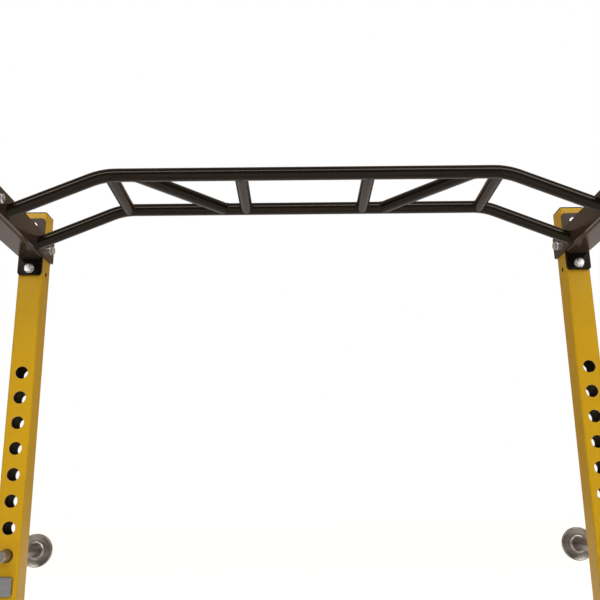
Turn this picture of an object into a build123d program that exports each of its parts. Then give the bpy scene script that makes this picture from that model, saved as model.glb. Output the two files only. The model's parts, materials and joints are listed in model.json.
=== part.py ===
"""Free-standing overhead bar rig: a multi-grip bar on two side beams, carried by four drilled posts.

Millimetres, +Z up. The origin is on the floor at the middle of the footprint. +X runs to the right
along the grip bar, and +Y runs from the rear posts to the front posts, which carry the grip bar.
"""

import os
from math import atan2, degrees

from build123d import *

# ---------------------------------------------------------------- driving dimensions
TUBE = 50.0                 # square tube of posts, beams and rails, outside
TUBE_WALL = 2.0
TUBE_CORNER = 5.0           # outside corner radius of the square tube
POST_X = 572.0              # post centre to the mid-plane
POST_Y = 500.0              # post centre to the mid-plane, front and rear
POST_TOP = 2120.0           # top end of a post above the floor
RAIL_HALF_LENGTH = 655.0    # base rail, without its end caps
FOOT_HEIGHT = 15.0          # rubber feet under the base rails
FOOT_LENGTH = 70.0
PLATE = 5.0                 # flanges and end plates
FOOT_PLATE = 6.0            # welded plate under each post

PIN_HOLE_R = 12.5           # accessory holes, front to back through each post
PIN_PITCH = 50.0
PIN_FIRST_DROP = 342.0      # first accessory hole below the post's top
PIN_COUNT = 27
BOLT_R = 5.0                # M10
BOLT_HOLE_R = 5.5
BEAM_DROP = 76.0            # beam centre below the post's top
SPARE_DROP = 130.0          # spare side hole below the post's top

FLANGE_HEIGHT = 125.0
FLANGE_BOLT_PITCH = 97.0    # base crossmember's flanges
BEAM_BOLT_DROPS = (33.5, 124.5)             # beam flange bolts below the post's top
FLANGE_CORNER = 7.0

GRIP_TUBE_R = 12.5          # long rails and hand grips
GRIP_TUBE_WALL = 2.0
WELD_GAP = 0.05             # root gap between a coped grip and the rail it is welded to
GRIP_DROP = 14.0            # straight middle of the long rails below the post's top
GRIP_END_DROP = 84.0        # where the long rails meet the end plates, below the post's top
GRIP_FRONT_Y = 428.0        # front long rail
GRIP_REAR_Y = 256.0         # rear long rail
GRIP_BEND_X = 373.0         # where the arms start to slope down
GRIP_BEND_R = 120.0
OUTER_GRIP_X = 360.0
INNER_GRIP_X = 119.0
DIAGONAL_REAR_X = 313.0     # diagonal grip on the rear long rail
DIAGONAL_FRONT_X = 161.0    # diagonal grip on the front long rail
END_PLATE_LENGTH = 338.0
END_PLATE_HEIGHT = 47.0
END_PLATE_BOLT_IN = 25.0    # bolt centre from the plate's end

REAR_BAR_R = 16.0
REAR_BAR_Y = -450.0
REAR_PLATE_LENGTH = 150.0

CROSS_Y = -375.0            # bottom crossmember
FOOT_BOLT_Y = 45.0          # foot plate bolts either side of the post's centre
FOOT_PLATE_LENGTH = 130.0

HOOK_HOLE = 7               # accessory hole that the bar hook sits in, counted from the top
PEG_R = 11.0
PEG_REAR_OUT = 34.0         # peg end standing out of the post on the rear side
PEG_FRONT_OUT = 115.0       # from the post to the end disc's rim
DISC_R = 34.0
DISC_DISH = 2.5             # how far the disc's middle lies behind its rim
LOCK_R = 10.0
LOCK_HEAD = (32.0, 35.0)    # width and height of the locking pin's flat head
LOCK_HEAD_DROP = 5.0        # head's middle below the pin's axis
GAP = 0.3                   # between pieces that move apart

HEX_ACROSS = 16.0
HEAD_HEIGHT = 6.4
NUT_HEIGHT = 8.0
WASHER_R = 10.0
WASHER_HEIGHT = 2.0
BOLT_LENGTH = 70.0

# ---------------------------------------------------------------- derived positions
RAIL_TOP = FOOT_HEIGHT + TUBE
RAIL_MID = FOOT_HEIGHT + TUBE / 2
POST_BOTTOM = RAIL_TOP + FOOT_PLATE
BEAM_Z = POST_TOP - BEAM_DROP
BEAM_BOLT_Z = [POST_TOP - drop for drop in BEAM_BOLT_DROPS]
INNER_X = POST_X - TUBE / 2                 # inner face of posts, beams and rails
POST_INNER_Y = POST_Y - TUBE / 2
PIN_Z = [POST_TOP - PIN_FIRST_DROP - PIN_PITCH * k for k in range(PIN_COUNT)]
GRIP_Z = POST_TOP - GRIP_DROP
GRIP_END_Z = POST_TOP - GRIP_END_DROP
GRIP_END_X = INNER_X - PLATE
HOOK_Z = PIN_Z[HOOK_HOLE]
LOCK_Z = PIN_Z[HOOK_HOLE + 1]
END_PLATE_Y = (POST_Y + TUBE / 2 - END_PLATE_LENGTH, POST_Y + TUBE / 2)
END_BOLT_Y = (END_PLATE_Y[0] + END_PLATE_BOLT_IN, END_PLATE_Y[1] - END_PLATE_BOLT_IN)
REAR_PLATE_Y = (-POST_Y - TUBE / 2, -POST_Y - TUBE / 2 + REAR_PLATE_LENGTH)
REAR_BOLT_Y = (REAR_PLATE_Y[0] + END_PLATE_BOLT_IN, REAR_PLATE_Y[1] - END_PLATE_BOLT_IN)
SIDES = {"left": -1, "right": 1}
ENDS = {"front": 1, "rear": -1}

# turns that lay a +Z piece along another axis
ALONG = {
    "+X": Rot(0, 90, 0),
    "-X": Rot(0, -90, 0),
    "+Y": Rot(-90, 0, 0),
    "-Y": Rot(90, 0, 0),
    "+Z": Rot(0, 0, 0),
    "-Z": Rot(180, 0, 0),
}


def save(name, *solids):
    """Writes one node, a single solid or a group of separate ones."""
    shape = solids[0] if len(solids) == 1 else Compound(children=list(solids))
    export_step(shape, f"parts/{name}.step")


def hole(at, axis, radius, length):
    """A cylinder to cut with, centred on a point."""
    return Pos(*at) * ALONG[axis] * Cylinder(radius, length)


def square_tube(length, start, axis):
    """Square tube with rounded corners, from a start point along an axis."""
    inner = TUBE - 2 * TUBE_WALL
    tube = extrude(RectangleRounded(TUBE, TUBE, TUBE_CORNER), length)
    tube -= extrude(RectangleRounded(inner, inner, TUBE_CORNER - TUBE_WALL), length)
    return Pos(*start) * ALONG[axis] * tube


def flat_plate(width, height, thickness, corner):
    """Plate in the XY plane with rounded corners, standing on Z = 0."""
    return extrude(RectangleRounded(width, height, corner), thickness)


# ---------------------------------------------------------------- fasteners
def hexagon(height):
    """Hexagon prism with the corners of its top face turned off."""
    prism = extrude(RegularPolygon(HEX_ACROSS / 2, 6, major_radius=False), height)
    cone_r = HEX_ACROSS / 2 * 0.97
    cone = Cone(cone_r + 2 * height, cone_r, height, align=(Align.CENTER, Align.CENTER, Align.MIN))
    return prism & cone


def bolt():
    """M10 hexagon bolt, its head above Z = 0 and its shank below."""
    down = (Align.CENTER, Align.CENTER, Align.MAX)
    shank = Cylinder(BOLT_R, BOLT_LENGTH, align=down)
    shank = chamfer(shank.edges().sort_by(Axis.Z)[0], 1.0)
    return hexagon(HEAD_HEIGHT) + shank


def washer():
    up = (Align.CENTER, Align.CENTER, Align.MIN)
    return Cylinder(WASHER_R, WASHER_HEIGHT, align=up) - Cylinder(BOLT_HOLE_R, WASHER_HEIGHT, align=up)


def nut():
    body = hexagon(NUT_HEIGHT) & Pos(0, 0, NUT_HEIGHT) * Rot(180, 0, 0) * hexagon(NUT_HEIGHT)
    return body - Cylinder(BOLT_R, 3 * NUT_HEIGHT)


def fasten(name, places):
    """Bolts through a clamped stack. A place is (point on the head's side, outward axis, stack)."""
    opposite = {"+": "-", "-": "+"}
    bolts, washers, nuts = [], [], []
    for point, axis, stack in places:
        out = Pos(*point) * ALONG[axis]
        back = out * Pos(0, 0, -stack) * ALONG["-Z"]
        bolts.append(out * Pos(0, 0, WASHER_HEIGHT) * bolt())
        washers += [out * washer(), back * washer()]
        nuts.append(back * Pos(0, 0, WASHER_HEIGHT) * nut())
    save(f"{name}_bolts", *bolts)
    save(f"{name}_washers", *washers)
    save(f"{name}_nuts", *nuts)


# ---------------------------------------------------------------- posts
def post(x, y):
    tube = square_tube(POST_TOP - POST_BOTTOM, (x, y, POST_BOTTOM), "+Z")
    cuts = [hole((x, y, z), "+Y", PIN_HOLE_R, 2 * TUBE) for z in PIN_Z]
    cuts += [hole((x, y, z), "+Y", BOLT_HOLE_R, 2 * TUBE) for z in BEAM_BOLT_Z]
    for drop in (BEAM_DROP, SPARE_DROP):
        cuts.append(hole((x, y, POST_TOP - drop), "+X", BOLT_HOLE_R, 2 * TUBE))
    return tube - cuts


def tube_cap():
    """Plastic plug for a tube end: a thin head on Z = 0 and a hollow skirt below it."""
    head_height, skirt_depth, skirt_wall, slack = 2.5, 18.0, 2.0, 0.2
    skirt = TUBE - 2 * TUBE_WALL - 2 * slack
    cap = flat_plate(TUBE, TUBE, head_height, TUBE_CORNER)
    cap = fillet(cap.faces().sort_by(Axis.Z)[-1].edges(), 1.2)
    outer = extrude(RectangleRounded(skirt, skirt, TUBE_CORNER - TUBE_WALL), -skirt_depth)
    room = skirt - 2 * skirt_wall
    inner = extrude(RectangleRounded(room, room, 1.0), -skirt_depth)
    return cap + (outer - inner)


def foot_plate(x, y):
    plate = Pos(x, y, RAIL_TOP) * flat_plate(TUBE, FOOT_PLATE_LENGTH, FOOT_PLATE, FLANGE_CORNER)
    cuts = [hole((x, y + s * FOOT_BOLT_Y, RAIL_TOP), "+Z", BOLT_HOLE_R, 4 * FOOT_PLATE) for s in (-1, 1)]
    return plate - cuts


# ---------------------------------------------------------------- beams and base
def top_beam(x):
    half = POST_INNER_Y - PLATE
    tube = square_tube(2 * half, (x, -half, BEAM_Z), "+Y")
    return tube - [hole((x, y, BEAM_Z), "+X", BOLT_HOLE_R, 2 * TUBE) for y in (END_BOLT_Y[0], REAR_BOLT_Y[1])]


def beam_flange(x, end):
    """Flange welded across a beam's end and bolted to a post."""
    face_y = end * (POST_INNER_Y - PLATE)
    axis = "+Y" if end > 0 else "-Y"
    plate = Pos(x, face_y, BEAM_Z) * ALONG[axis] * flat_plate(TUBE, FLANGE_HEIGHT, PLATE, FLANGE_CORNER)
    return plate - [hole((x, face_y, z), "+Y", BOLT_HOLE_R, 4 * PLATE) for z in BEAM_BOLT_Z]


def base_rail(x):
    tube = square_tube(2 * RAIL_HALF_LENGTH, (x, -RAIL_HALF_LENGTH, RAIL_MID), "+Y")
    cuts = [hole((x, y, RAIL_MID), "+Z", BOLT_HOLE_R, 2 * TUBE) for y in foot_bolt_ys()]
    cuts += [hole((x, y, RAIL_MID), "+X", BOLT_HOLE_R, 2 * TUBE) for y in cross_bolt_ys()]
    return tube - cuts


def foot_bolt_ys():
    return [e * POST_Y + s * FOOT_BOLT_Y for e in (-1, 1) for s in (-1, 1)]


def cross_bolt_ys():
    return [CROSS_Y + s * FLANGE_BOLT_PITCH / 2 for s in (-1, 1)]


def cross_flange(side):
    """Flange welded across the bottom crossmember's end and bolted to a base rail."""
    start = Pos(side * (INNER_X - PLATE), CROSS_Y, RAIL_MID)
    axis = "+X" if side > 0 else "-X"
    plate = start * ALONG[axis] * flat_plate(TUBE, FLANGE_HEIGHT, PLATE, FLANGE_CORNER)
    cuts = [hole((side * INNER_X, y, RAIL_MID), "+X", BOLT_HOLE_R, 4 * PLATE) for y in cross_bolt_ys()]
    return plate - cuts


def rubber_foot(x, y):
    foot = Pos(x, y, 0) * flat_plate(TUBE, FOOT_LENGTH, FOOT_HEIGHT, TUBE_CORNER)
    return chamfer(foot.faces().sort_by(Axis.Z)[0].edges(), 2.0)


# ---------------------------------------------------------------- grip bar
def long_rail_outline(radius, y):
    """Solid round bar along a long rail: level in the middle, with an arm sloping down at each end."""
    slope = (GRIP_Z - GRIP_END_Z) / (GRIP_END_X - GRIP_BEND_X)
    over = 30.0                                # run past the end plate, trimmed off below
    end = (GRIP_END_X + over, y, GRIP_END_Z - over * slope)
    bend = (GRIP_BEND_X, y, GRIP_Z)
    points = [end, bend, (-bend[0], bend[1], bend[2]), (-end[0], end[1], end[2])]
    path = FilletPolyline(*points, radius=GRIP_BEND_R)
    start = Plane(origin=path @ 0, z_dir=path % 0)
    bar = sweep(start * Circle(radius), path=path)
    between = Pos(0, y, GRIP_Z) * Box(2 * GRIP_END_X, 4 * TUBE, 8 * TUBE)
    return bar & between


def long_rail(y):
    return long_rail_outline(GRIP_TUBE_R, y) - long_rail_outline(GRIP_TUBE_R - GRIP_TUBE_WALL, y)


def hand_grip(rear_x, front_x):
    """Round tube between the two long rails, its ends coped to fit round them."""
    run_x, run_y = front_x - rear_x, GRIP_FRONT_Y - GRIP_REAR_Y
    length = (run_x**2 + run_y**2) ** 0.5
    middle = Pos((rear_x + front_x) / 2, (GRIP_REAR_Y + GRIP_FRONT_Y) / 2, GRIP_Z)
    lie = middle * Rot(0, 0, degrees(atan2(run_y, run_x))) * Rot(0, 90, 0)
    tube = lie * (Cylinder(GRIP_TUBE_R, length) - Cylinder(GRIP_TUBE_R - GRIP_TUBE_WALL, length))
    for x, y in ((rear_x, GRIP_REAR_Y), (front_x, GRIP_FRONT_Y)):
        tube -= rail_cope(x, y)
    return max(tube.solids(), key=lambda s: s.volume)


def rail_cope(x, y):
    """Solid that stands for a long rail where a grip meets it."""
    radius = GRIP_TUBE_R + WELD_GAP
    if abs(x) > GRIP_BEND_X - TUBE:
        return long_rail_outline(radius, y)
    return Pos(x, y, GRIP_Z) * ALONG["+X"] * Cylinder(radius, 6 * GRIP_TUBE_R)


def end_plate(side, y_range, height):
    """Flat plate against the inner faces of a beam and a post, with one bolt into each."""
    middle, length = sum(y_range) / 2, y_range[1] - y_range[0]
    start = Pos(side * (INNER_X - PLATE), middle, BEAM_Z)
    axis = "+X" if side > 0 else "-X"
    plate = start * ALONG[axis] * flat_plate(height, length, PLATE, 4.0)
    bolts = (y_range[0] + END_PLATE_BOLT_IN, y_range[1] - END_PLATE_BOLT_IN)
    return plate - [hole((side * INNER_X, y, BEAM_Z), "+X", BOLT_HOLE_R, 4 * PLATE) for y in bolts]


def rear_bar():
    bar = Cylinder(REAR_BAR_R, 2 * GRIP_END_X) - Cylinder(REAR_BAR_R - GRIP_TUBE_WALL, 2 * GRIP_END_X)
    return Pos(0, REAR_BAR_Y, BEAM_Z) * ALONG["+X"] * bar


# ---------------------------------------------------------------- bar hooks
FRONT_FACE = POST_Y + TUBE / 2
REAR_FACE = POST_INNER_Y
DISC_FACE = FRONT_FACE + PEG_FRONT_OUT
HOOK_PLATE = 6.0


def turned(x, z, *profile):
    """Turned piece about a front-to-back axis, from (radius, y) points in order."""
    outline = make_face(Polyline(*[(r, y) for r, y in profile], close=True))
    return Pos(x, 0, z) * revolve(outline, Axis.Y)


def hook_peg(x):
    tip, edge = REAR_FACE - PEG_REAR_OUT, 1.5
    end = DISC_FACE + 6.0
    return turned(x, HOOK_Z, (0, tip), (PEG_R - edge, tip), (PEG_R, tip + edge), (PEG_R, end), (0, end))


def hook_disc(x):
    """Dished end disc that flares smoothly out of the peg, so that a bar on the peg can't roll off."""
    flare, collar, edge = 8.0, PEG_R + 1.0, 1.5
    hub, middle, back = collar + flare, DISC_FACE + DISC_DISH, DISC_FACE + 8.0
    bend = flare * (1 - 0.5**0.5)
    lip = edge * (1 - 0.5**0.5)
    rim = DISC_R - edge
    root = middle - flare
    outline = [
        Line((PEG_R, root - 3), (collar - 0.5, root - 3)),
        Line((collar - 0.5, root - 3), (collar, root)),
        ThreePointArc((collar, root), (collar + bend, middle - bend), (hub, middle)),
        ThreePointArc((hub, middle), ((hub + rim) / 2, middle - 0.3 * DISC_DISH), (rim, DISC_FACE)),
        ThreePointArc((rim, DISC_FACE), (DISC_R - lip, DISC_FACE + lip), (DISC_R, DISC_FACE + edge)),
        Polyline((DISC_R, DISC_FACE + edge), (DISC_R, back - 1), (rim + 0.5, back), (0, back)),
        Polyline((0, back), (0, DISC_FACE + 6), (PEG_R, DISC_FACE + 6), (PEG_R, root - 3)),
    ]
    return Pos(x, 0, HOOK_Z) * revolve(make_face(outline), Axis.Y)


def hook_back_plate(x):
    """Plate behind the post that joins the peg to the locking pin's hole."""
    top, bottom = HOOK_Z + 20.0, LOCK_Z - 20.0
    plate = Pos(x, FRONT_FACE + GAP, (top + bottom) / 2) * ALONG["+Y"]
    plate *= flat_plate(40.0, top - bottom, HOOK_PLATE, 8.0)
    holes = ((HOOK_Z, PEG_R), (LOCK_Z, LOCK_R + 0.5))
    return plate - [hole((x, FRONT_FACE, z), "+Y", radius, 60) for z, radius in holes]


def lock_pin_shaft(x):
    head_face = REAR_FACE - GAP
    tip = FRONT_FACE + GAP + HOOK_PLATE + 10.0
    point = [(LOCK_R, tip - 3), (LOCK_R - 3, tip), (0, tip)]
    return turned(x, LOCK_Z, (0, head_face), (LOCK_R, head_face), *point)


def lock_pin_head(x):
    head = flat_plate(*LOCK_HEAD, 6.0, 4.5)
    head = chamfer(head.faces().sort_by(Axis.Z)[-1].edges(), 1.2)
    return Pos(x, REAR_FACE - GAP, LOCK_Z - LOCK_HEAD_DROP) * ALONG["-Y"] * head


def make_posts():
    caps, feet = [], []
    for end, e in ENDS.items():
        for side, s in SIDES.items():
            x, y = s * POST_X, e * POST_Y
            save(f"{end}_{side}_post", post(x, y))
            save(f"{end}_{side}_foot_plate", foot_plate(x, y))
            caps.append(Pos(x, y, POST_TOP) * tube_cap())
            feet.append(rubber_foot(x, e * (RAIL_HALF_LENGTH - FOOT_LENGTH / 2)))
    save("post_caps", *caps)
    save("rubber_feet", *feet)


def make_beams_and_base():
    caps = []
    for side, s in SIDES.items():
        x = s * POST_X
        save(f"{side}_top_beam", top_beam(x))
        save(f"{side}_base_rail", base_rail(x))
        save(f"base_cross_{side}_flange", cross_flange(s))
        for end, e in ENDS.items():
            save(f"{side}_beam_{end}_flange", beam_flange(x, e))
            axis = "+Y" if e > 0 else "-Y"
            caps.append(Pos(x, e * RAIL_HALF_LENGTH, RAIL_MID) * ALONG[axis] * tube_cap())
    save("base_rail_caps", *caps)
    half = INNER_X - PLATE
    save("base_crossmember", square_tube(2 * half, (-half, CROSS_Y, RAIL_MID), "+X"))


def make_grip_bar():
    save("rear_long_rail", long_rail(GRIP_REAR_Y))
    save("front_long_rail", long_rail(GRIP_FRONT_Y))
    for side, s in SIDES.items():
        save(f"outer_grip_{side}", hand_grip(s * OUTER_GRIP_X, s * OUTER_GRIP_X))
        save(f"inner_grip_{side}", hand_grip(s * INNER_GRIP_X, s * INNER_GRIP_X))
        save(f"diagonal_grip_{side}", hand_grip(s * DIAGONAL_REAR_X, s * DIAGONAL_FRONT_X))
        save(f"grip_bar_{side}_end_plate", end_plate(s, END_PLATE_Y, END_PLATE_HEIGHT))
        save(f"rear_bar_{side}_end_plate", end_plate(s, REAR_PLATE_Y, END_PLATE_HEIGHT))
    save("rear_bar", rear_bar())


def make_fasteners():
    stack = TUBE + PLATE
    beam, grip, rear, foot, cross = [], [], [], [], []
    for s in SIDES.values():
        x, inner = s * POST_X, s * (INNER_X - PLATE)
        inward = "-X" if s > 0 else "+X"
        for e in ENDS.values():
            into = "-Y" if e > 0 else "+Y"
            beam += [((x, e * (POST_INNER_Y - PLATE), z), into, stack) for z in BEAM_BOLT_Z]
        grip += [((inner, y, BEAM_Z), inward, stack) for y in END_BOLT_Y]
        rear += [((inner, y, BEAM_Z), inward, stack) for y in REAR_BOLT_Y]
        cross += [((inner, y, RAIL_MID), inward, stack) for y in cross_bolt_ys()]
        foot += [((x, y, POST_BOTTOM), "+Z", TUBE + FOOT_PLATE) for y in foot_bolt_ys()]
    fasten("beam_flange", beam)
    fasten("grip_bar", grip)
    fasten("rear_bar", rear)
    fasten("base_cross", cross)
    fasten("foot_plate", foot)


def make_hooks():
    for side, s in SIDES.items():
        x = s * POST_X
        save(f"{side}_hook_peg", hook_peg(x))
        save(f"{side}_hook_disc", hook_disc(x))
        save(f"{side}_hook_back_plate", hook_back_plate(x))
        save(f"{side}_lock_pin_shaft", lock_pin_shaft(x))
        save(f"{side}_lock_pin_head", lock_pin_head(x))


os.makedirs("parts", exist_ok=True)
make_posts()
make_beams_and_base()
make_grip_bar()
make_fasteners()
make_hooks()
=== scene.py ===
import json
from math import atan2, cos, hypot, pi, radians, sin, sqrt, tau

import bpy
import numpy as np
from bpy.props import FloatProperty, FloatVectorProperty, PointerProperty
from mathutils import Matrix, Vector


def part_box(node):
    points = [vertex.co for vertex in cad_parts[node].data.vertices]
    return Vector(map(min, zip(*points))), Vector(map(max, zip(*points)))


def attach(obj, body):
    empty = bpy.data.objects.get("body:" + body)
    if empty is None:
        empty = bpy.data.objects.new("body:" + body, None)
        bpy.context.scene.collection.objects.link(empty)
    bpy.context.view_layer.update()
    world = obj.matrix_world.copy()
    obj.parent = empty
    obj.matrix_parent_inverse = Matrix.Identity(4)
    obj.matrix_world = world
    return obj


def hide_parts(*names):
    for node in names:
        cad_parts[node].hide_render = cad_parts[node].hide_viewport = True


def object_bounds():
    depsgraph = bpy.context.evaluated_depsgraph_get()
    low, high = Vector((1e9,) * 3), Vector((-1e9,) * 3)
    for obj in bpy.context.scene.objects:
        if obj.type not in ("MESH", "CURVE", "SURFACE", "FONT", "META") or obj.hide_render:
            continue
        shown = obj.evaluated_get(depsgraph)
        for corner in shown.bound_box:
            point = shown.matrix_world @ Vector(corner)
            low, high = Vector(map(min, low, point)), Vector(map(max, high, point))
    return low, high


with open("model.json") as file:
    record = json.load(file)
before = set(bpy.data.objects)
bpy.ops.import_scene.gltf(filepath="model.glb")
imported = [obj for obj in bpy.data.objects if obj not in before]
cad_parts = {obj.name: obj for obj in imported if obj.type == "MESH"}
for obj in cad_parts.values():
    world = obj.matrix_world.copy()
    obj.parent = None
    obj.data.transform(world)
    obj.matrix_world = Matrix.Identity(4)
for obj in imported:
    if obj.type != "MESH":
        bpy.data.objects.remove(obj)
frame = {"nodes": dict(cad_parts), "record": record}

bl_info = {
    "name": "Pull-up Rig Finishes",
    "version": (1, 0, 0),
    "blender": (4, 5, 0),
    "location": "3D View > Sidebar > Rig",
    "description": "Paint, plated steel, welds, threads, feet and a studio for a multi-grip pull-up rig",
    "category": "Object",
}

CAD_BOX = [list(corner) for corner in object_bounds()]
SIDES = ("left", "right")
ENDS = ("front", "rear")
GRIPS = ("outer", "inner", "diagonal")
FASTENERS = ("beam_flange", "grip_bar", "rear_bar", "base_cross", "foot_plate")


def middle(node):
    """The centre of a CAD node's box."""
    low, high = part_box(node)
    return (low + high) / 2


POST_AT = middle("front_right_post")
POST_HALF = (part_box("front_right_post")[1].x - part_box("front_right_post")[0].x) / 2
POST_BOTTOM, POST_TOP = (corner.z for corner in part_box("front_right_post"))
HOOK_AT = middle("right_hook_disc")
LOCK_AT = middle("right_lock_pin_shaft")
HOLE_PITCH = HOOK_AT.z - LOCK_AT.z
HOLE_TOP = frame["record"]["mounts"][0]["pos_m"][2]
HOLE_R = frame["record"]["mounts"][0]["dims"]["r_mm"] / 1000
HOLE_COUNT = 27  # in each post
RAIL_R = (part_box("front_long_rail")[1].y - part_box("front_long_rail")[0].y) / 2
RAIL_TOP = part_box("front_long_rail")[1].z
RAIL_Y = {end: middle(f"{end}_long_rail").y for end in ENDS}

RIM_WEAR = 0.0007  # how far the worn ring round a hole reaches
INNER_WALL = 0.00173  # depth at which a post counts as inside, just short of its 2 mm wall
WELD_SINK = 0.97  # share of a rail's radius at which a grip's weld sits
SCREW_ROOT, SCREW_CREST, SCREW_REACH = 0.00492, 0.00522, 0.0022
FOOT_GROOVES = ((0.2, 0.3), (0.45, 0.55), (0.7, 0.8))  # from and to, as shares of the height
FILL_SIZE = (1.3, 0.7)
END_BEAD = 1.15  # size of the beads at the bars' ends, against the other tube beads

WORN_STEEL = (0.24, 0.22, 0.2)
# Inside of the posts: bare steel, darkened further by painted shade of the hollow.
BARE_AND_SHADED_INSIDE = (0.06, 0.05, 0.034)
BLUISH_ZINC = (0.62, 0.64, 0.68)
FLOOR_DUST = (0.09, 0.085, 0.08)


# ---------------------------------------------------------------- what a user may change
class RigPaint(bpy.types.PropertyGroup):
    """Colours and textures of the coatings"""

    yellow: FloatVectorProperty(
        name="Yellow", description="Gloss powder coat of the posts",
        subtype="COLOR", size=3, min=0, max=1, default=(0.355, 0.203, 0.0050))
    black: FloatVectorProperty(
        name="Black", description="Powder coat of the rails, diagonal grips, flanges, rear bar and base",
        subtype="COLOR", size=3, min=0, max=1, default=(0.0036, 0.0024, 0.0015))
    # Painted reflection: a lighter, browner copy of the black coat that stands in for warm light reflected by
    # the beams, end plates and grips.
    painted_sheen_black: FloatVectorProperty(
        name="Brownish black", description="Powder coat of the beams, end plates and parallel grips",
        subtype="COLOR", size=3, min=0, max=1, default=(0.0245, 0.0150, 0.0090))
    plastic: FloatVectorProperty(
        name="Plastic", description="Tube caps",
        subtype="COLOR", size=3, min=0, max=1, default=(0.010, 0.009, 0.008))
    weld_black: FloatVectorProperty(
        name="Weld black", description="Powder coat over the weld beads, which takes no gloss",
        subtype="COLOR", size=3, min=0, max=1, default=(0.0090, 0.0070, 0.0055))
    rubber: FloatVectorProperty(
        name="Rubber", description="Feet",
        subtype="COLOR", size=3, min=0, max=1, default=(0.022, 0.021, 0.020))
    peel: FloatProperty(
        name="Orange peel", description="Width of one ripple in the gloss coat",
        unit="LENGTH", min=0.0003, default=0.0022)
    grain: FloatProperty(
        name="Satin grain", description="Width of one grain in the satin coat",
        unit="LENGTH", min=0.0002, default=0.0007)


class RigSteel(bpy.types.PropertyGroup):
    """Colours of the bare and plated steel"""

    zinc: FloatVectorProperty(
        name="Bright zinc", description="Bolts, washers and nuts",
        subtype="COLOR", size=3, min=0, max=1, default=(0.55, 0.52, 0.46))
    turned: FloatVectorProperty(
        name="Turned steel", description="Hook pegs and end discs",
        subtype="COLOR", size=3, min=0, max=1, default=(0.235, 0.213, 0.188))
    plated: FloatVectorProperty(
        name="Matt zinc", description="Locking pins and hook plates",
        subtype="COLOR", size=3, min=0, max=1, default=(0.205, 0.203, 0.200))
    lathe_mark: FloatProperty(
        name="Lathe mark", description="Distance between turning marks",
        unit="LENGTH", min=0.0001, default=0.0006)


class RigWelds(bpy.types.PropertyGroup):
    """Sizes of the welds and threads"""

    tube_bead: FloatProperty(
        name="Tube bead", description="Radius of a bead round a round tube",
        unit="LENGTH", min=0.0005, default=0.0019)
    beam_bead: FloatProperty(
        name="Beam bead", description="Radius of a bead along a square tube",
        unit="LENGTH", min=0.0005, default=0.0019)
    ripple: FloatProperty(
        name="Ripple", description="Distance between two ripples of a bead",
        unit="LENGTH", min=0.001, default=0.0032)
    thread_pitch: FloatProperty(
        name="Thread pitch", description="Pitch of the bolt threads",
        unit="LENGTH", min=0.0005, default=0.0015)


class RigStage(bpy.types.PropertyGroup):
    """Floor, lights and camera"""

    floor: FloatVectorProperty(
        name="Floor", description="Colour of the floor",
        subtype="COLOR", size=3, min=0, max=1, default=(0.90, 0.90, 0.90))
    floor_glow: FloatProperty(
        name="Floor glow", description="Light that the lit floor gives off by itself",
        min=0, max=1, default=0.66)
    backdrop: FloatProperty(
        name="Backdrop", description="Brightness of the white behind the rig",
        min=0, max=4, default=1.0)
    sky_ahead: FloatVectorProperty(
        name="Light from the front", description="Soft light that comes from beyond the grip bar",
        subtype="COLOR", size=3, min=0, max=4, default=(0.60, 0.45, 0.34))
    sky_behind: FloatVectorProperty(
        name="Light from the rear", description="Soft light that comes from behind the rig",
        subtype="COLOR", size=3, min=0, max=4, default=(0.20, 0.21, 0.23))
    sky_rise: FloatProperty(
        name="Sky rise", description="How much brighter the soft light is overhead than at the horizon",
        min=0, max=2, default=0.9)
    sun: FloatProperty(
        name="Key light", description="Strength of the round key light",
        min=0, default=0.12)
    sun_width: FloatProperty(
        name="Key width", description="How wide the key light looks, as an angle",
        subtype="ANGLE", min=0, default=radians(9))
    sun_height: FloatProperty(
        name="Key height", description="How high the key light stands above the horizon",
        subtype="ANGLE", default=radians(44))
    sun_side: FloatProperty(
        name="Key side", description="How far the key light stands to the right of straight behind",
        subtype="ANGLE", default=radians(12))
    strip: FloatProperty(
        name="Strip light",
        description="Power of the long light behind the rig, which draws the line along each tube",
        unit="POWER", min=0, default=380.0)
    fill: FloatProperty(
        name="Fill lights", description="Power of each small light low behind the rig",
        unit="POWER", min=0, default=22.0)
    fill_out: FloatProperty(
        name="Fill distance", description="How far each fill light hangs from the middle",
        unit="LENGTH", default=2.12)
    fill_height: FloatProperty(
        name="Fill height", description="How high the fill lights hang",
        unit="LENGTH", default=3.83)
    strip_length: FloatProperty(
        name="Strip length", description="Length of the strip light, side to side",
        unit="LENGTH", min=0.1, default=9.0)
    strip_width: FloatProperty(
        name="Strip width", description="Width of the strip light, which sets how broad each tube's line is",
        unit="LENGTH", min=0.1, default=1.3)
    strip_at: FloatVectorProperty(
        name="Strip place", description="Where the middle of the strip light hangs",
        subtype="TRANSLATION", size=3, default=(0.7, -3.7, 5.1))
    camera_at: FloatVectorProperty(
        name="Camera", description="Where the camera stands",
        subtype="TRANSLATION", size=3, default=(-0.0204, -1.0400, 1.5160))
    pitch: FloatProperty(
        name="Pitch", description="How far the camera looks up",
        subtype="ANGLE", default=radians(15.030))
    yaw: FloatProperty(
        name="Yaw", description="How far the camera is turned to the right",
        subtype="ANGLE", default=radians(0.366))
    roll: FloatProperty(
        name="Roll", description="How far the camera leans to the right",
        subtype="ANGLE", default=radians(0.704))
    lens: FloatProperty(
        name="Lens", description="Focal length on a 36 mm wide sensor, in millimetres",
        min=10, default=45.599)


def settings():
    """The scene, which holds the property groups."""
    return bpy.context.scene


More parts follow.
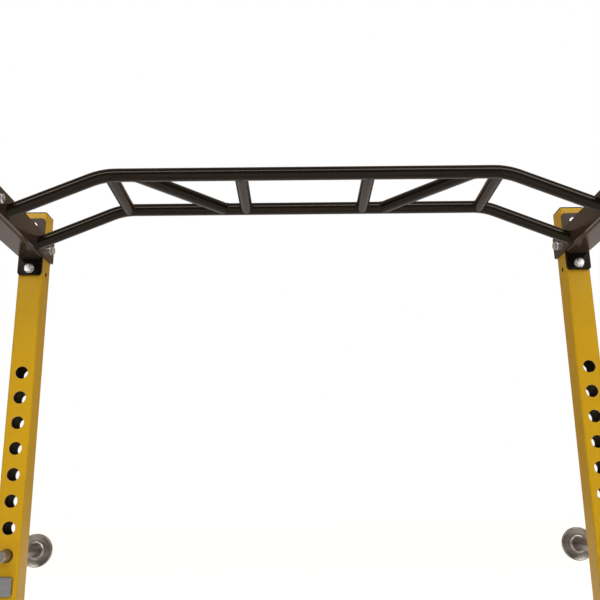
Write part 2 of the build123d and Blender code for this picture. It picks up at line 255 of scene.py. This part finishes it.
# ---------------------------------------------------------------- shader arithmetic
class Wire:
    """An output socket. Arithmetic on it adds Math nodes to its tree."""

    def __init__(self, socket):
        self.socket = socket

    @staticmethod
    def node(tree, kind, setup=None, inputs=None, output=0):
        """Adds a node, sets it up, fills or links its sockets and gives one of its outputs."""
        made = tree.nodes.new("ShaderNode" + kind)
        for name, value in (setup or {}).items():
            if name == "stops":
                set_stops(made.color_ramp, value)
            else:
                setattr(made, name, value)
        for key, value in (inputs or {}).items():
            if isinstance(value, Wire):
                tree.links.new(value.socket, made.inputs[key])
            else:
                made.inputs[key].default_value = value
        return Wire(made.outputs[output])

    def maths(self, operation, *values, clamp=False):
        setup = {"operation": operation, "use_clamp": clamp}
        return Wire.node(self.socket.id_data, "Math", setup, dict(enumerate(values)))

    def __add__(self, other):
        return self.maths("ADD", self, other)

    def __sub__(self, other):
        return self.maths("SUBTRACT", self, other)

    def __rsub__(self, other):
        return self.maths("SUBTRACT", other, self)

    def __mul__(self, other):
        return self.maths("MULTIPLY", self, other)

    def __truediv__(self, other):
        return self.maths("DIVIDE", self, other)

    def __abs__(self):
        return self.maths("ABSOLUTE", self)

    def __pow__(self, power):
        return self.maths("POWER", self, power)

    __radd__ = __add__

    def below(self, limit, soft):
        """1 below the limit and 0 above it, with a soft edge."""
        return self.maths("MULTIPLY_ADD", self, -1 / soft, limit / soft + 0.5, clamp=True)

    def most(self, other):
        return self.maths("MAXIMUM", self, other)


def set_stops(ramp, stops):
    """Fills a colour ramp with (position, grey) pairs."""
    while len(ramp.elements) < len(stops):
        ramp.elements.new(0.5)
    for element, (position, grey) in zip(ramp.elements, stops):
        element.position = position
        element.color = (grey, grey, grey, 1)


class Finish:
    """A new material: a Principled shader and the patterns that feed it."""

    def __init__(self, name, **constants):
        self.material = bpy.data.materials.new(name)
        self.material.use_nodes = True
        self.tree = self.material.node_tree
        self.shader = self.tree.nodes["Principled BSDF"]
        for socket, value in constants.items():
            self.shader.inputs[socket.replace("_", " ")].default_value = value
        self.at = self.node("TexCoord", output="Object")
        self.x, self.y, self.z = (self.node("SeparateXYZ", inputs={0: self.at}, output=i) for i in range(3))

    def node(self, kind, setup=None, inputs=None, output=0):
        return Wire.node(self.tree, kind, setup, inputs, output)

    def noise(self, scale, detail=2.0, roughness=0.5, stretch=None, seed=0.0):
        """Noise from 0 to 1. scale is in features per metre, and stretch scales the three axes."""
        at = self.at
        if stretch or seed:
            place = {"Scale": stretch or (1, 1, 1), "Location": (seed, seed, seed)}
            at = self.node("Mapping", inputs={0: at, **place})
        inputs = {"Vector": at, "Scale": scale, "Detail": detail, "Roughness": roughness}
        return self.node("TexNoise", inputs=inputs)

    def lines(self, distance, scale):
        """One-dimensional noise along a distance."""
        inputs = {"W": distance * scale, "Scale": 1.0, "Detail": 2.0}
        return self.node("TexNoise", {"noise_dimensions": "1D"}, inputs)

    def ramp(self, wire, *stops):
        return self.node("ValToRGB", {"stops": stops}, {0: wire})

    def blend(self, share, first, second):
        """Colour that goes from the first to the second as share goes from 0 to 1."""
        colours = {6: first, 7: second}
        inputs = {k: c if isinstance(c, Wire) else (*c[:3], 1) for k, c in colours.items()}
        return self.node("Mix", {"data_type": "RGBA", "clamp_factor": True}, {0: share, **inputs}, output=2)

    def colour(self, wire):
        self.tree.links.new(wire.socket, self.shader.inputs["Base Color"])

    def roughness(self, wire):
        self.tree.links.new(wire.socket, self.shader.inputs["Roughness"])

    def bump(self, height, depth):
        """Raises the surface by up to depth metres."""
        normal = self.node("Bump", inputs={"Height": height, "Distance": depth, "Strength": 1.0})
        self.tree.links.new(normal.socket, self.shader.inputs["Normal"])

    def put_on(self, *objects):
        for thing in objects:
            if not thing.material_slots:
                thing.data.materials.append(self.material)
            for slot in thing.material_slots:
                slot.material = self.material


def tint(colour, factor):
    return tuple(min(1.0, c * factor) for c in colour)


def nodes_in(*slots):
    """The CAD nodes whose record names one of these material slots."""
    rows = frame["record"]["subparts"]
    return [frame["nodes"][row["node"]] for row in rows if row["material_slot"] in slots]


def finish_for(slot):
    """The finished material of a slot, for the pieces added here."""
    return bpy.data.materials[slot]


# ---------------------------------------------------------------- materials
def hole_distance(f):
    """Distance from the axis of a post's nearest accessory hole. It grows by 1 m past the ends of the row."""
    start = HOLE_TOP - HOLE_PITCH * (HOLE_COUNT - 0.5)
    rows = (f.z - start) / HOLE_PITCH
    up = (rows.maths("FRACT", rows) - 0.5) * HOLE_PITCH
    across = abs(abs(f.x) - POST_AT.x)
    outside = rows.maths("GREATER_THAN", rows, HOLE_COUNT) + rows.maths("LESS_THAN", rows, 0.0)
    return (across * across + up * up) ** 0.5 + outside


def inside_post(f):
    """1 on the walls inside a post."""
    inner = POST_HALF - INNER_WALL
    across = abs(abs(f.x) - POST_AT.x)
    along = abs(abs(f.y) - POST_AT.y)
    above = f.z.maths("GREATER_THAN", f.z, POST_BOTTOM)
    return across.most(along).below(inner, 0.0003) * above


def yellow_paint():
    paint = settings().rig_paint
    f = Finish("yellow_paint", Specular_IOR_Level=0.11, Coat_Weight=0.02, Coat_Roughness=0.12)
    cloud = f.noise(6, detail=3)
    fine = f.noise(90, detail=4, seed=3.0)
    body = f.blend(f.ramp(cloud, (0.3, 0), (0.7, 1)), tint(paint.yellow, 0.95), tint(paint.yellow, 1.05))
    body = f.blend(f.ramp(fine, (0.55, 0), (0.8, 0.35)), body, tint(paint.yellow, 0.82))
    from_hole = hole_distance(f)
    worn = f.ramp(f.noise(420, detail=3, seed=1.0), (0.5, 0), (0.62, 1))
    rim = from_hole.below(HOLE_R + RIM_WEAR, 0.0008) * worn
    body = f.blend(rim * 0.5, body, WORN_STEEL)
    # Inner walls of the posts: bare steel with painted shade of the hollow.
    inside = inside_post(f)
    f.colour(f.blend(inside, body, BARE_AND_SHADED_INSIDE))
    smudge = f.noise(14, detail=5, seed=5.0)
    f.roughness((0.24 + smudge * 0.14 + rim * 0.2).most(inside * 0.6))
    peel = f.noise(1 / paint.peel, detail=1)
    f.bump(peel + rim * -0.8, 0.00007)
    f.put_on(*nodes_in("yellow_paint"))


def black_coat(name, colour, gloss, shine, nodes):
    """Black powder coat with a fine grain. gloss is its lowest roughness and shine its reflectivity."""
    paint = settings().rig_paint
    f = Finish(name, Specular_IOR_Level=shine, Specular_Tint=(1.0, 0.82, 0.68, 1))
    cloud = f.noise(9, detail=4)
    speck = f.noise(700, detail=2, seed=2.0)
    body = f.blend(f.ramp(cloud, (0.3, 0), (0.7, 1)), tint(colour, 0.85), tint(colour, 1.25))
    body = f.blend(f.ramp(speck, (0.72, 0), (0.8, 0.5)), body, tint(colour, 3))
    f.colour(body)
    smudge = f.noise(22, detail=5, seed=4.0)
    f.roughness(gloss + smudge * 0.1)
    grain = f.noise(1 / paint.grain, detail=2)
    f.bump(grain + f.noise(160, detail=2, seed=6.0) * 0.8, 0.00002)
    f.put_on(*nodes)


def black_paint():
    """Plain black on most parts, and a browner, lighter black on the beams, end plates and parallel grips:
    painted reflection of warm light at grazing angles.
    """
    paint = settings().rig_paint
    nodes = nodes_in("black_paint")
    flat = [node for node in nodes if node.name.endswith(("top_beam", "end_plate"))]
    grips = [node for node in nodes if node.name.startswith(("outer_grip", "inner_grip"))]
    rest = [node for node in nodes if node not in flat + grips]
    black_coat("black_paint", paint.black, 0.10, 0.14, rest)
    # Painted reflection: the grips take a dimmer share of the brown sheen, and the beams and end plates all
    # of it.
    black_coat("black_paint_grip", tint(paint.painted_sheen_black, 0.45), 0.12, 0.07, grips)
    black_coat("black_paint_painted_sheen", paint.painted_sheen_black, 0.12, 0.09, flat)
    black_coat("black_paint_weld", paint.weld_black, 0.38, 0.1, [])


def bright_zinc():
    steel = settings().rig_steel
    f = Finish("bright_zinc", Metallic=1.0, Roughness=0.25)
    hue = f.noise(70, detail=2)
    body = f.blend(f.ramp(hue, (0.35, 0), (0.65, 1)), tint(steel.zinc, 0.9), BLUISH_ZINC)
    stain = f.noise(300, detail=4, seed=2.0)
    f.colour(f.blend(f.ramp(stain, (0.6, 0), (0.85, 0.7)), body, tint(steel.zinc, 0.5)))
    f.roughness(0.16 + f.noise(500, detail=3, seed=7.0) * 0.2)
    scratch = f.noise(900, detail=2, stretch=(1, 1, 0.15))
    f.bump(scratch, 0.00003)
    f.put_on(*nodes_in("bright_zinc"))


def turned_steel():
    steel = settings().rig_steel
    f = Finish("turned_steel", Metallic=1.0, Roughness=0.3)
    across = abs(abs(f.x) - HOOK_AT.x)
    up = f.z - HOOK_AT.z
    radius = (across * across + up * up) ** 0.5
    marks = f.lines(radius + f.y * 0.7, 1 / steel.lathe_mark)
    bands = f.lines(radius + f.y * 0.7, 240)
    body = f.blend(f.ramp(bands, (0.3, 0), (0.75, 1)), tint(steel.turned, 0.82), tint(steel.turned, 1.15))
    f.colour(f.blend(f.ramp(f.noise(60, detail=5), (0.5, 0), (0.8, 0.5)), body, tint(steel.turned, 0.55)))
    f.roughness(0.26 + marks * 0.14 + bands * 0.08)
    f.bump(marks, 0.00002)
    f.put_on(*nodes_in("turned_steel"))


def plated_steel():
    steel = settings().rig_steel
    f = Finish("plated_steel", Metallic=1.0, Roughness=0.42)
    spangle = f.node("TexVoronoi", inputs={"Vector": f.at, "Scale": 260.0}, output="Color")
    grey = f.node("SeparateXYZ", inputs={0: spangle})
    body = f.blend(grey, tint(steel.plated, 0.92), tint(steel.plated, 1.1))
    f.colour(f.blend(f.ramp(f.noise(45, detail=5), (0.5, 0), (0.8, 0.5)), body, tint(steel.plated, 0.7)))
    f.roughness(0.34 + f.noise(180, detail=4, seed=3.0) * 0.2)
    f.bump(f.noise(1500, detail=2), 0.00002)
    f.put_on(*nodes_in("plated_steel"))


def black_plastic():
    paint = settings().rig_paint
    f = Finish("black_plastic", Roughness=0.5, Specular_IOR_Level=0.04)
    body = f.blend(f.ramp(f.noise(40, detail=4), (0.4, 0), (0.7, 1)), paint.plastic, tint(paint.plastic, 1.6))
    f.colour(body)
    f.roughness(0.46 + f.noise(300, detail=3) * 0.16)
    f.bump(f.noise(2200, detail=2), 0.00004)
    f.put_on(*nodes_in("black_plastic"))


def rubber():
    paint = settings().rig_paint
    f = Finish("rubber", Roughness=0.8)
    dust = f.ramp(f.noise(55, detail=5), (0.45, 0), (0.8, 0.8)) * f.z.below(0.006, 0.012)
    f.colour(f.blend(dust, paint.rubber, FLOOR_DUST))
    f.roughness(0.72 + f.noise(240, detail=3) * 0.2)
    f.bump(f.noise(1200, detail=3), 0.00008)
    f.put_on(*nodes_in("rubber"))


# ---------------------------------------------------------------- modelling helpers
def clear_selection():
    """Leaves edit mode and deselects everything."""
    if bpy.context.object and bpy.context.object.mode != "OBJECT":
        bpy.ops.object.mode_set(mode="OBJECT")
    bpy.ops.object.select_all(action="DESELECT")


def join(name, parts):
    """Makes one mesh of several, with outward normals and smooth faces."""
    clear_selection()
    for part in parts:
        part.select_set(True)
    bpy.context.view_layer.objects.active = parts[0]
    if len(parts) > 1:
        bpy.ops.object.join()
    piece = bpy.context.object
    piece.name = piece.data.name = name
    bpy.ops.object.mode_set(mode="EDIT")
    bpy.ops.mesh.select_all(action="SELECT")
    bpy.ops.mesh.normals_make_consistent(inside=False)
    bpy.ops.object.mode_set(mode="OBJECT")
    bpy.ops.object.shade_smooth()
    return piece


def settle(piece, body, slot, finish=None):
    """Rides a finished piece on a body and gives it a slot's finish, or a variant of it."""
    piece.data.materials.clear()
    piece.data.materials.append(finish_for(finish or slot))
    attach(piece, body)


def wrap_bead(path, length, radius, thin=0.0):
    """A bead round a closed path, thinner by a share at its top and bottom.

    path(angle) gives the middle, and two directions across it.
    """
    ripples = round(length / settings().rig_welds.ripple)
    clear_selection()
    bpy.ops.mesh.primitive_torus_add(
        major_segments=4 * ripples, minor_segments=8, major_radius=1.0, minor_radius=0.25)
    ring = bpy.context.object
    for vertex in ring.data.vertices:
        angle = atan2(vertex.co.y, vertex.co.x)
        out, up = (hypot(vertex.co.x, vertex.co.y) - 1) / 0.25, vertex.co.z / 0.25
        here, outward, upward = path(angle)
        swell = radius * (1 + 0.12 * cos(ripples * angle) + 0.08 * sin(3 * angle + length * 90))
        swell *= 1 - thin * sin(angle) ** 4
        vertex.co = here + (outward * out + upward * up) * swell
    return ring


def lay_bead(start, finish, radius):
    """A straight bead between two points, rounded off at both ends."""
    length = (finish - start).length
    ripples = round(length / settings().rig_welds.ripple)
    clear_selection()
    bpy.ops.mesh.primitive_uv_sphere_add(segments=10, ring_count=4 * ripples, radius=1.0)
    run = bpy.context.object
    along = (finish - start).normalized()
    first = along.orthogonal().normalized()
    second = along.cross(first)
    for vertex in run.data.vertices:
        turn = atan2(vertex.co.y, vertex.co.x)
        share = atan2(hypot(vertex.co.x, vertex.co.y), vertex.co.z) / pi
        taper = sqrt(max(0.0, 1 - max(0.0, 1 - min(share, 1 - share) * length / radius) ** 2))
        swell = radius * taper * (1 + 0.09 * cos(tau * ripples * share))
        vertex.co = start + along * (length * share) + (first * cos(turn) + second * sin(turn)) * swell
    return run


def centre_line(node):
    """A straight level tube's middle and direction, from the narrowest way across its plan."""
    plan = np.array([v.co[:2] for v in frame["nodes"][node].data.vertices])
    best = None
    for step in range(1800):
        angle = pi * step / 1800
        across = plan @ np.array((cos(angle), sin(angle)))
        width = across.max() - across.min()
        if best is None or width < best[0] - 1e-7:
            best = width, angle, (across.max() + across.min()) / 2
    _, angle, offset = best
    normal = Vector((cos(angle), sin(angle), 0))
    along = Vector((-normal.y, normal.x, 0))
    along *= 1 if along.y > 0 else -1
    height = middle(node).z
    start = normal * offset + Vector((0, 0, height))
    return start, along, normal


# ---------------------------------------------------------------- welds
def grip_weld(node, end):
    """Bead where a grip meets a long rail: the curve in which two equal tubes cross."""
    start, along, normal = centre_line(node)
    toward = 1 if end == "front" else -1

    def path(angle):
        edge = RAIL_Y[end] - toward * RAIL_R * abs(cos(angle)) * WELD_SINK
        side = normal * cos(angle) + Vector((0, 0, sin(angle)))
        run = (edge - start.y - RAIL_R * cos(angle) * normal.y) / along.y
        return start + along * run + side * RAIL_R, side, along

    return wrap_bead(path, tau * RAIL_R * 1.2, settings().rig_welds.tube_bead, thin=0.75)


def rail_end_weld(end, side):
    """Bead round the sloping end of a long rail, against its end plate."""
    rail, plate = f"{end}_long_rail", f"grip_bar_{side}_end_plate"
    sign = 1 if side == "right" else -1
    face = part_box(plate)[0].x if sign > 0 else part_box(plate)[1].x
    ends = [v.co for v in frame["nodes"][rail].data.vertices if abs(v.co.x - face) < 0.0005]
    high, low = max(v.z for v in ends), min(v.z for v in ends)

    def path(angle):
        outward = Vector((0, cos(angle), sin(angle)))
        up = (high + low) / 2 + (high - low) / 2 * sin(angle)
        spot = Vector((face, RAIL_Y[end] + RAIL_R * cos(angle), up))
        return spot, outward, Vector((1, 0, 0))

    return wrap_bead(path, tau * RAIL_R * 1.05, settings().rig_welds.tube_bead * END_BEAD)


def rear_bar_weld(side):
    low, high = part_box("rear_bar")
    centre, radius = (low + high) / 2, (high.z - low.z) / 2
    face = high.x if side == "right" else low.x

    def path(angle):
        outward = Vector((0, cos(angle), sin(angle)))
        return Vector((face, centre.y, centre.z)) + outward * radius, outward, Vector((1, 0, 0))

    return wrap_bead(path, tau * radius, settings().rig_welds.tube_bead * END_BEAD)


def peg_weld(side):
    """Bead round a hook's peg, on the far face of its back plate."""
    centre = middle(f"{side}_hook_peg")
    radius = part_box(f"{side}_hook_peg")[1].x - centre.x
    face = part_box(f"{side}_hook_back_plate")[1].y

    def path(angle):
        outward = Vector((cos(angle), 0, sin(angle)))
        return Vector((centre.x, face, centre.z)) + outward * radius, outward, Vector((0, 1, 0))

    return wrap_bead(path, tau * radius, settings().rig_welds.tube_bead)


def flange_welds(tube, flange, normal, across):
    """Beads along the two sides of a square tube that its flange stands out from. Axes are 0, 1 or 2."""
    tube_low, tube_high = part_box(tube)
    low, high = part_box(flange)
    spread = 3 - normal - across
    inset = 0.0045
    face = low[normal] if abs(low[normal] - tube_high[normal]) < 0.001 else high[normal]
    beads = []
    for edge in (tube_low[spread], tube_high[spread]):
        ends = []
        for limit in (tube_low[across] + inset, tube_high[across] - inset):
            point = Vector((0, 0, 0))
            point[normal], point[spread], point[across] = face, edge, limit
            ends.append(point)
        beads.append(lay_bead(*ends, settings().rig_welds.beam_bead))
    return beads


# ---------------------------------------------------------------- threads
def loose_parts(node):
    """The separate solids of a CAD node, each as its list of points."""
    mesh = frame["nodes"][node].data
    spots = [tuple(round(c, 6) for c in v.co) for v in mesh.vertices]
    owner = {spot: spot for spot in spots}

    def root(spot):
        while owner[spot] != spot:
            owner[spot] = owner[owner[spot]]
            spot = owner[spot]
        return spot

    for face in mesh.polygons:
        first = root(spots[face.vertices[0]])
        for index in face.vertices[1:]:
            owner[root(spots[index])] = first
    groups = {}
    for spot in owner:
        groups.setdefault(root(spot), []).append(Vector(spot))
    return [groups[key] for key in sorted(groups)]


def bolt_tip(points):
    """A bolt's shank end and the direction that it points in."""
    low = Vector([min(p[i] for p in points) for i in range(3)])
    high = Vector([max(p[i] for p in points) for i in range(3)])
    axis = max(range(3), key=lambda i: high[i] - low[i])
    other = (axis + 1) % 3
    spans = []
    for end in (low, high):
        near = [p[other] for p in points if abs(p[axis] - end[axis]) < 0.004]
        spans.append(max(near) - min(near))
    sign = -1 if spans[0] < spans[1] else 1
    centre = (low + high) / 2
    centre[axis] = (low if sign < 0 else high)[axis]
    direction = Vector((0, 0, 0))
    direction[axis] = sign
    return centre, direction


def thread_end(tip, direction):
    """Short length of thread on a bolt's end, past its nut: one ridge turned round the shank."""
    pitch = settings().rig_welds.thread_pitch
    clear_selection()
    bpy.ops.mesh.primitive_circle_add(vertices=4, radius=1.0)
    ridge = bpy.context.object
    rise, fall, foot = pitch * 0.38, pitch * 0.5, pitch * 0.86
    profile = [(SCREW_ROOT, 0.0), (SCREW_CREST, rise), (SCREW_CREST, fall), (SCREW_ROOT, foot)]
    for vertex, (out, up) in zip(ridge.data.vertices, profile):
        vertex.co = Vector((out, 0, up))
    screw = ridge.modifiers.new("thread", "SCREW")
    screw.axis, screw.angle, screw.steps, screw.render_steps = "Z", tau * 1.1, 26, 26
    screw.screw_offset = pitch * 1.1
    bpy.ops.object.modifier_apply(modifier="thread")
    bpy.ops.object.mode_set(mode="EDIT")
    bpy.ops.mesh.select_all(action="DESELECT")
    bpy.ops.mesh.select_non_manifold()
    bpy.ops.mesh.edge_face_add()
    bpy.ops.object.mode_set(mode="OBJECT")
    turn = Vector((0, 0, 1)).rotation_difference(direction).to_matrix().to_4x4()
    ridge.data.transform(Matrix.Translation(tip - direction * (SCREW_REACH + pitch * 0.6)) @ turn)
    return ridge


# ---------------------------------------------------------------- feet
def ribbed_foot(low, high):
    """Moulded foot: bevelled block with grooves round its sides."""
    clear_selection()
    size = high - low
    bpy.ops.mesh.primitive_cube_add(size=1.0)
    foot = bpy.context.object
    foot.data.transform(Matrix.Translation((low + high) / 2) @ Matrix.Diagonal((*size, 1)))
    bpy.ops.object.mode_set(mode="EDIT")
    bpy.ops.mesh.select_mode(type="EDGE")
    bpy.ops.mesh.select_all(action="DESELECT")
    bpy.ops.object.mode_set(mode="OBJECT")
    for edge in foot.data.edges:
        a, b = (foot.data.vertices[i].co for i in edge.vertices)
        edge.select = abs(a.z - b.z) > size.z / 2
    bpy.ops.object.mode_set(mode="EDIT")
    bpy.ops.mesh.bevel(offset=0.005, segments=5, affect="EDGES")
    for share in sum(FOOT_GROOVES, ()):
        bpy.ops.mesh.select_all(action="SELECT")
        bpy.ops.mesh.bisect(plane_co=(0, 0, low.z + share * size.z), plane_no=(0, 0, 1))
    bpy.ops.mesh.select_all(action="DESELECT")
    bpy.ops.mesh.select_mode(type="FACE")
    bpy.ops.object.mode_set(mode="OBJECT")
    for face in foot.data.polygons:
        height = (face.center.z - low.z) / size.z
        face.select = abs(face.normal.z) < 0.5 and any(a < height < b for a, b in FOOT_GROOVES)
    bpy.ops.object.mode_set(mode="EDIT")
    bpy.ops.mesh.extrude_region_shrink_fatten(TRANSFORM_OT_shrink_fatten={"value": -0.0012})
    bpy.ops.object.mode_set(mode="OBJECT")
    edge_round = foot.modifiers.new("edge", "BEVEL")
    edge_round.width, edge_round.segments, edge_round.limit_method = 0.0003, 2, "ANGLE"
    bpy.ops.object.modifier_apply(modifier="edge")
    return foot


# ---------------------------------------------------------------- operators
class RigOperator(bpy.types.Operator):
    """Shared base of the rig's steps"""

    bl_options = {"REGISTER", "UNDO"}

    def execute(self, context):
        self.make()
        return {"FINISHED"}


class RIG_OT_coatings(RigOperator):
    """Yellow and black powder coat on the posts, beams, rails, grips and plates"""

    bl_idname = "rig.coatings"
    bl_label = "Powder coats"

    def make(self):
        yellow_paint()
        black_paint()


class RIG_OT_steels(RigOperator):
    """Zinc, turned steel and matt plate on the fasteners, hooks and locking pins"""

    bl_idname = "rig.steels"
    bl_label = "Bare and plated steel"

    def make(self):
        bright_zinc()
        turned_steel()
        plated_steel()


class RIG_OT_mouldings(RigOperator):
    """Plastic on the tube caps and rubber on the feet"""

    bl_idname = "rig.mouldings"
    bl_label = "Plastic and rubber"

    def make(self):
        black_plastic()
        rubber()


class RIG_OT_grip_welds(RigOperator):
    """Beads at both ends of each hand grip"""

    bl_idname = "rig.grip_welds"
    bl_label = "Grip welds"

    def make(self):
        for side in SIDES:
            beads = [grip_weld(f"{grip}_grip_{side}", end) for grip in GRIPS for end in ENDS]
            settle(join(f"{side}_grip_welds", beads), "frame", "black_paint", "black_paint_weld")


class RIG_OT_bar_end_welds(RigOperator):
    """Beads where the long rails and the rear bar meet their end plates"""

    bl_idname = "rig.bar_end_welds"
    bl_label = "Bar end welds"

    def make(self):
        for side in SIDES:
            beads = [rail_end_weld(end, side) for end in ENDS] + [rear_bar_weld(side)]
            settle(join(f"{side}_bar_end_welds", beads), "frame", "black_paint", "black_paint_weld")


class RIG_OT_flange_welds(RigOperator):
    """Beads along the flanges of the beams and the crossmember, and on the foot plates"""

    bl_idname = "rig.flange_welds"
    bl_label = "Flange welds"

    def make(self):
        beads = []
        for side in SIDES:
            for end in ENDS:
                beads += flange_welds(f"{side}_top_beam", f"{side}_beam_{end}_flange", 1, 0)
            beads += flange_welds("base_crossmember", f"base_cross_{side}_flange", 0, 2)
        settle(join("flange_welds", beads), "frame", "black_paint", "black_paint_weld")
        beads = []
        for end in ENDS:
            for side in SIDES:
                beads += flange_welds(f"{end}_{side}_post", f"{end}_{side}_foot_plate", 2, 0)
        settle(join("foot_plate_welds", beads), "frame", "yellow_paint")


class RIG_OT_peg_welds(RigOperator):
    """Bead round each hook's peg"""

    bl_idname = "rig.peg_welds"
    bl_label = "Peg welds"

    def make(self):
        for side in SIDES:
            settle(join(f"{side}_peg_weld", [peg_weld(side)]), f"{side}_hook", "plated_steel")


class RIG_OT_threads(RigOperator):
    """Threads on the ends of the bolts"""

    bl_idname = "rig.threads"
    bl_label = "Bolt threads"

    def make(self):
        for group in FASTENERS:
            tips = [bolt_tip(points) for points in loose_parts(f"{group}_bolts")]
            settle(join(f"{group}_threads", [thread_end(*tip) for tip in tips]), "frame", "bright_zinc")


class RIG_OT_feet(RigOperator):
    """Ribbed rubber feet under the base rails"""

    bl_idname = "rig.feet"
    bl_label = "Ribbed feet"

    def make(self):
        feet = []
        for points in loose_parts("rubber_feet"):
            low = Vector([min(p[i] for p in points) for i in range(3)])
            high = Vector([max(p[i] for p in points) for i in range(3)])
            feet.append(ribbed_foot(low, high))
        piece = join("ribbed_feet", feet)
        bpy.ops.object.shade_smooth_by_angle(angle=radians(35))
        settle(piece, "frame", "rubber")
        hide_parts("rubber_feet")


def key_light():
    """One wide sun from high behind the rig, a little to the right."""
    stage = settings().rig_stage
    bpy.ops.object.light_add(type="SUN", location=(0, 0, 4))
    light = bpy.context.object
    light.name = "key"
    light.data.energy = stage.sun
    light.data.angle = stage.sun_width
    level = cos(stage.sun_height)
    toward = Vector((level * sin(stage.sun_side), -level * cos(stage.sun_side), sin(stage.sun_height)))
    light.rotation_euler = toward.to_track_quat("Z", "Y").to_euler()


def strip_light():
    """A long soft box across the studio, aimed at the grip bar."""
    stage = settings().rig_stage
    bpy.ops.object.light_add(type="AREA", location=stage.strip_at)
    light = bpy.context.object
    light.name = "strip"
    light.data.shape = "RECTANGLE"
    light.data.size, light.data.size_y = stage.strip_length, stage.strip_width
    light.data.energy = stage.strip
    back = Vector(stage.strip_at) - Vector((0, RAIL_Y["rear"], RAIL_TOP))
    light.rotation_euler = back.to_track_quat("Z", "Y").to_euler()


def fill_lights():
    """Two small soft boxes behind the rig, which show as a sheen on the front flanges above the beams."""
    stage = settings().rig_stage
    for side in (-1, 1):
        place = Vector((side * stage.fill_out, stage.strip_at[1], stage.fill_height))
        bpy.ops.object.light_add(type="AREA", location=place)
        light = bpy.context.object
        light.name = "fill"
        light.data.shape = "RECTANGLE"
        light.data.size, light.data.size_y = FILL_SIZE
        light.data.energy = stage.fill
        back = place - Vector((side * POST_AT.x, POST_AT.y, POST_TOP))
        light.rotation_euler = back.to_track_quat("Z", "Y").to_euler()


def paint_floor(floor):
    glow = settings().rig_stage.floor_glow
    f = Finish(
        "floor", Roughness=1.0, Specular_IOR_Level=0.0, Emission_Color=(1, 1, 1, 1), Emission_Strength=glow)
    base = tuple(settings().rig_stage.floor)
    f.colour(f.blend(f.noise(1.5, detail=3), tint(base, 0.985), tint(base, 1.01)))
    f.put_on(floor)


def set_backdrop():
    """White behind the rig, and soft light: warm from the front, dim from the rear, brighter overhead."""
    stage = settings().rig_stage
    world = bpy.data.worlds.new("studio")
    world.use_nodes = True
    bpy.context.scene.world = world
    tree = world.node_tree
    backdrop = tree.nodes["Background"]
    direction = Wire.node(tree, "TexCoord", output="Generated")
    forward, up = (Wire.node(tree, "SeparateXYZ", inputs={0: direction}, output=i) for i in (1, 2))
    share = forward.maths("MULTIPLY_ADD", forward, 0.5, 0.5, clamp=True)
    soft = {6: (*stage.sky_behind, 1), 7: (*stage.sky_ahead, 1)}
    light = Wire.node(tree, "Mix", {"data_type": "RGBA"}, {0: share, **soft}, output=2)
    seen = Wire.node(tree, "LightPath", output="Is Camera Ray")
    shown = Wire.node(tree, "Mix", {"data_type": "RGBA"}, {0: seen, 6: light, 7: (1, 1, 1, 1)}, output=2)
    tree.links.new(shown.socket, backdrop.inputs["Color"])
    gain = up.maths("MULTIPLY_ADD", up, stage.sky_rise, 1 - stage.sky_rise / 2).most(0.2)
    tree.links.new((gain + seen * (stage.backdrop - gain)).socket, backdrop.inputs["Strength"])


class RIG_OT_stage(RigOperator):
    """Pale floor, white backdrop and soft studio lights"""

    bl_idname = "rig.stage"
    bl_label = "Stage"

    def make(self):
        clear_selection()
        bpy.ops.mesh.primitive_plane_add(size=120.0, location=(0, 0, CAD_BOX[0][2] - 0.0003))
        floor = bpy.context.object
        floor.name = "floor"
        paint_floor(floor)
        key_light()
        strip_light()
        fill_lights()
        set_backdrop()
        settings().view_settings.view_transform = "Standard"


class RIG_OT_camera(RigOperator):
    """Camera inside the rig, looking up at the grip bar"""

    bl_idname = "rig.camera"
    bl_label = "Camera"

    def make(self):
        stage = settings().rig_stage
        clear_selection()
        bpy.ops.object.camera_add(location=stage.camera_at)
        camera = bpy.context.object
        camera.name = "camera"
        level = Matrix.Rotation(-stage.yaw, 4, "Z") @ Matrix.Rotation(pi / 2 + stage.pitch, 4, "X")
        turn = level @ Matrix.Rotation(-stage.roll, 4, "Z")
        camera.matrix_world = Matrix.Translation(stage.camera_at) @ turn
        camera.data.sensor_width = 36.0
        camera.data.lens = stage.lens
        camera.data.clip_start, camera.data.clip_end = 0.01, 200.0
        settings().camera = camera


class RIG_PT_panel(bpy.types.Panel):
    """The rig's steps and settings"""

    bl_idname = "RIG_PT_panel"
    bl_label = "Pull-up Rig"
    bl_space_type = "VIEW_3D"
    bl_region_type = "UI"
    bl_category = "Rig"

    def draw(self, context):
        for step in STEPS:
            self.layout.operator(step.bl_idname)
        for name, group in GROUPS.items():
            box = self.layout.box()
            box.label(text=group.__doc__)
            for field in group.__annotations__:
                box.prop(getattr(context.scene, name), field)


GROUPS = {"rig_paint": RigPaint, "rig_steel": RigSteel, "rig_welds": RigWelds, "rig_stage": RigStage}
STEPS = (
    RIG_OT_coatings, RIG_OT_steels, RIG_OT_mouldings, RIG_OT_grip_welds, RIG_OT_bar_end_welds,
    RIG_OT_flange_welds, RIG_OT_peg_welds, RIG_OT_threads, RIG_OT_feet, RIG_OT_stage, RIG_OT_camera,
)


def register():
    for group in GROUPS.values():
        bpy.utils.register_class(group)
    for name, group in GROUPS.items():
        setattr(bpy.types.Scene, name, PointerProperty(type=group))
    for step in STEPS:
        bpy.utils.register_class(step)
    bpy.utils.register_class(RIG_PT_panel)


def unregister():
    bpy.utils.unregister_class(RIG_PT_panel)
    for step in reversed(STEPS):
        bpy.utils.unregister_class(step)
    for name, group in GROUPS.items():
        delattr(bpy.types.Scene, name)
        bpy.utils.unregister_class(group)


def main():
    register()
    for step in STEPS:
        area, name = step.bl_idname.split(".")
        getattr(getattr(bpy.ops, area), name)()


if __name__ == "__main__":
    main()
